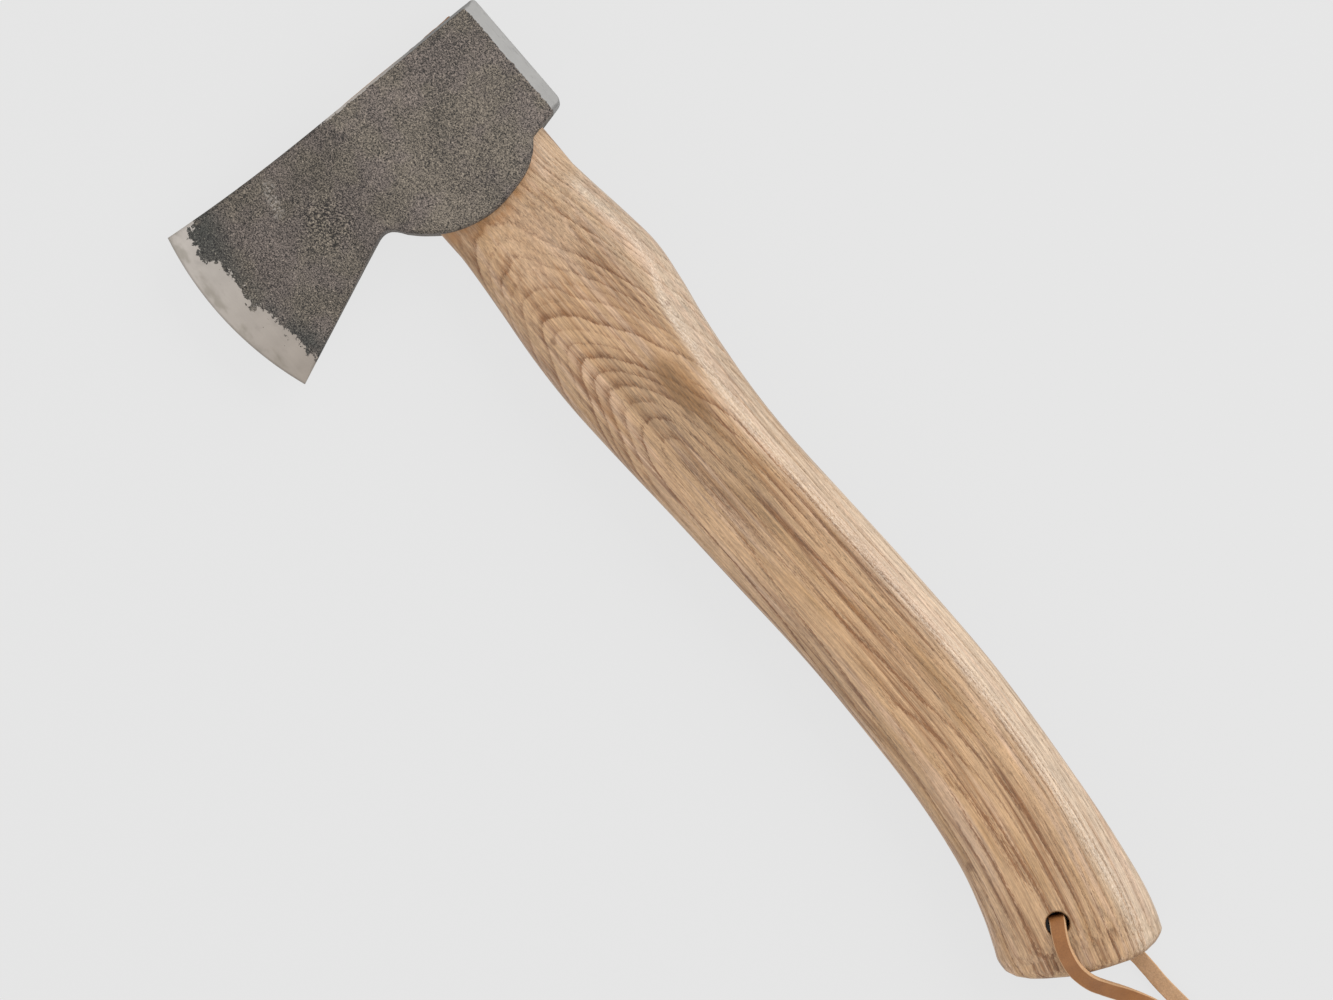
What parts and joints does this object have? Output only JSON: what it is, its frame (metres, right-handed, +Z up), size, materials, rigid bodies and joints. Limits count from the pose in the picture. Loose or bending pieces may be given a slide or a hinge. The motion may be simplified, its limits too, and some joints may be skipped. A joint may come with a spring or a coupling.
{
  "type": "carving hatchet",
  "caption": "Small one-hand carving hatchet: forged bearded head with a ground edge and poll on a curved ash haft, with a leather wrist lace.",
  "frame": {"origin": "bottom centre of the box round the head and haft, the leather lace left out, with the hatchet lying on its side", "axes": "+X along the haft from the butt to the top of the head, +Y from the poll to the cutting edge, +Z up through the cheeks"},
  "size_m": [0.4627, 0.1116, 0.026],
  "materials": {
    "forged_steel": "dark pitted forging scale, with the bevel at the edge and the strip round the poll ground bright",
    "ash_wood": "sanded and lightly oiled ash with open grain",
    "wedge_wood": "sawn hardwood, trimmed flush with the eye",
    "bright_steel": "turned mild steel ring, driven in flush",
    "lace_leather": "tan cowhide lace, smooth on one side and fuzzy on the flesh side"
  },
  "bodies": {
    "root": {"axe_head": "forged_steel", "haft": "ash_wood", "wooden_wedge": "wedge_wood", "steel_ring_wedge": "bright_steel", "lace_front_strand": "lace_leather", "lace_rear_strand": "lace_leather", "lace_knot": "lace_leather", "lace_front_tail": "lace_leather", "lace_rear_tail": "lace_leather"}
  },
  "joints": []
}
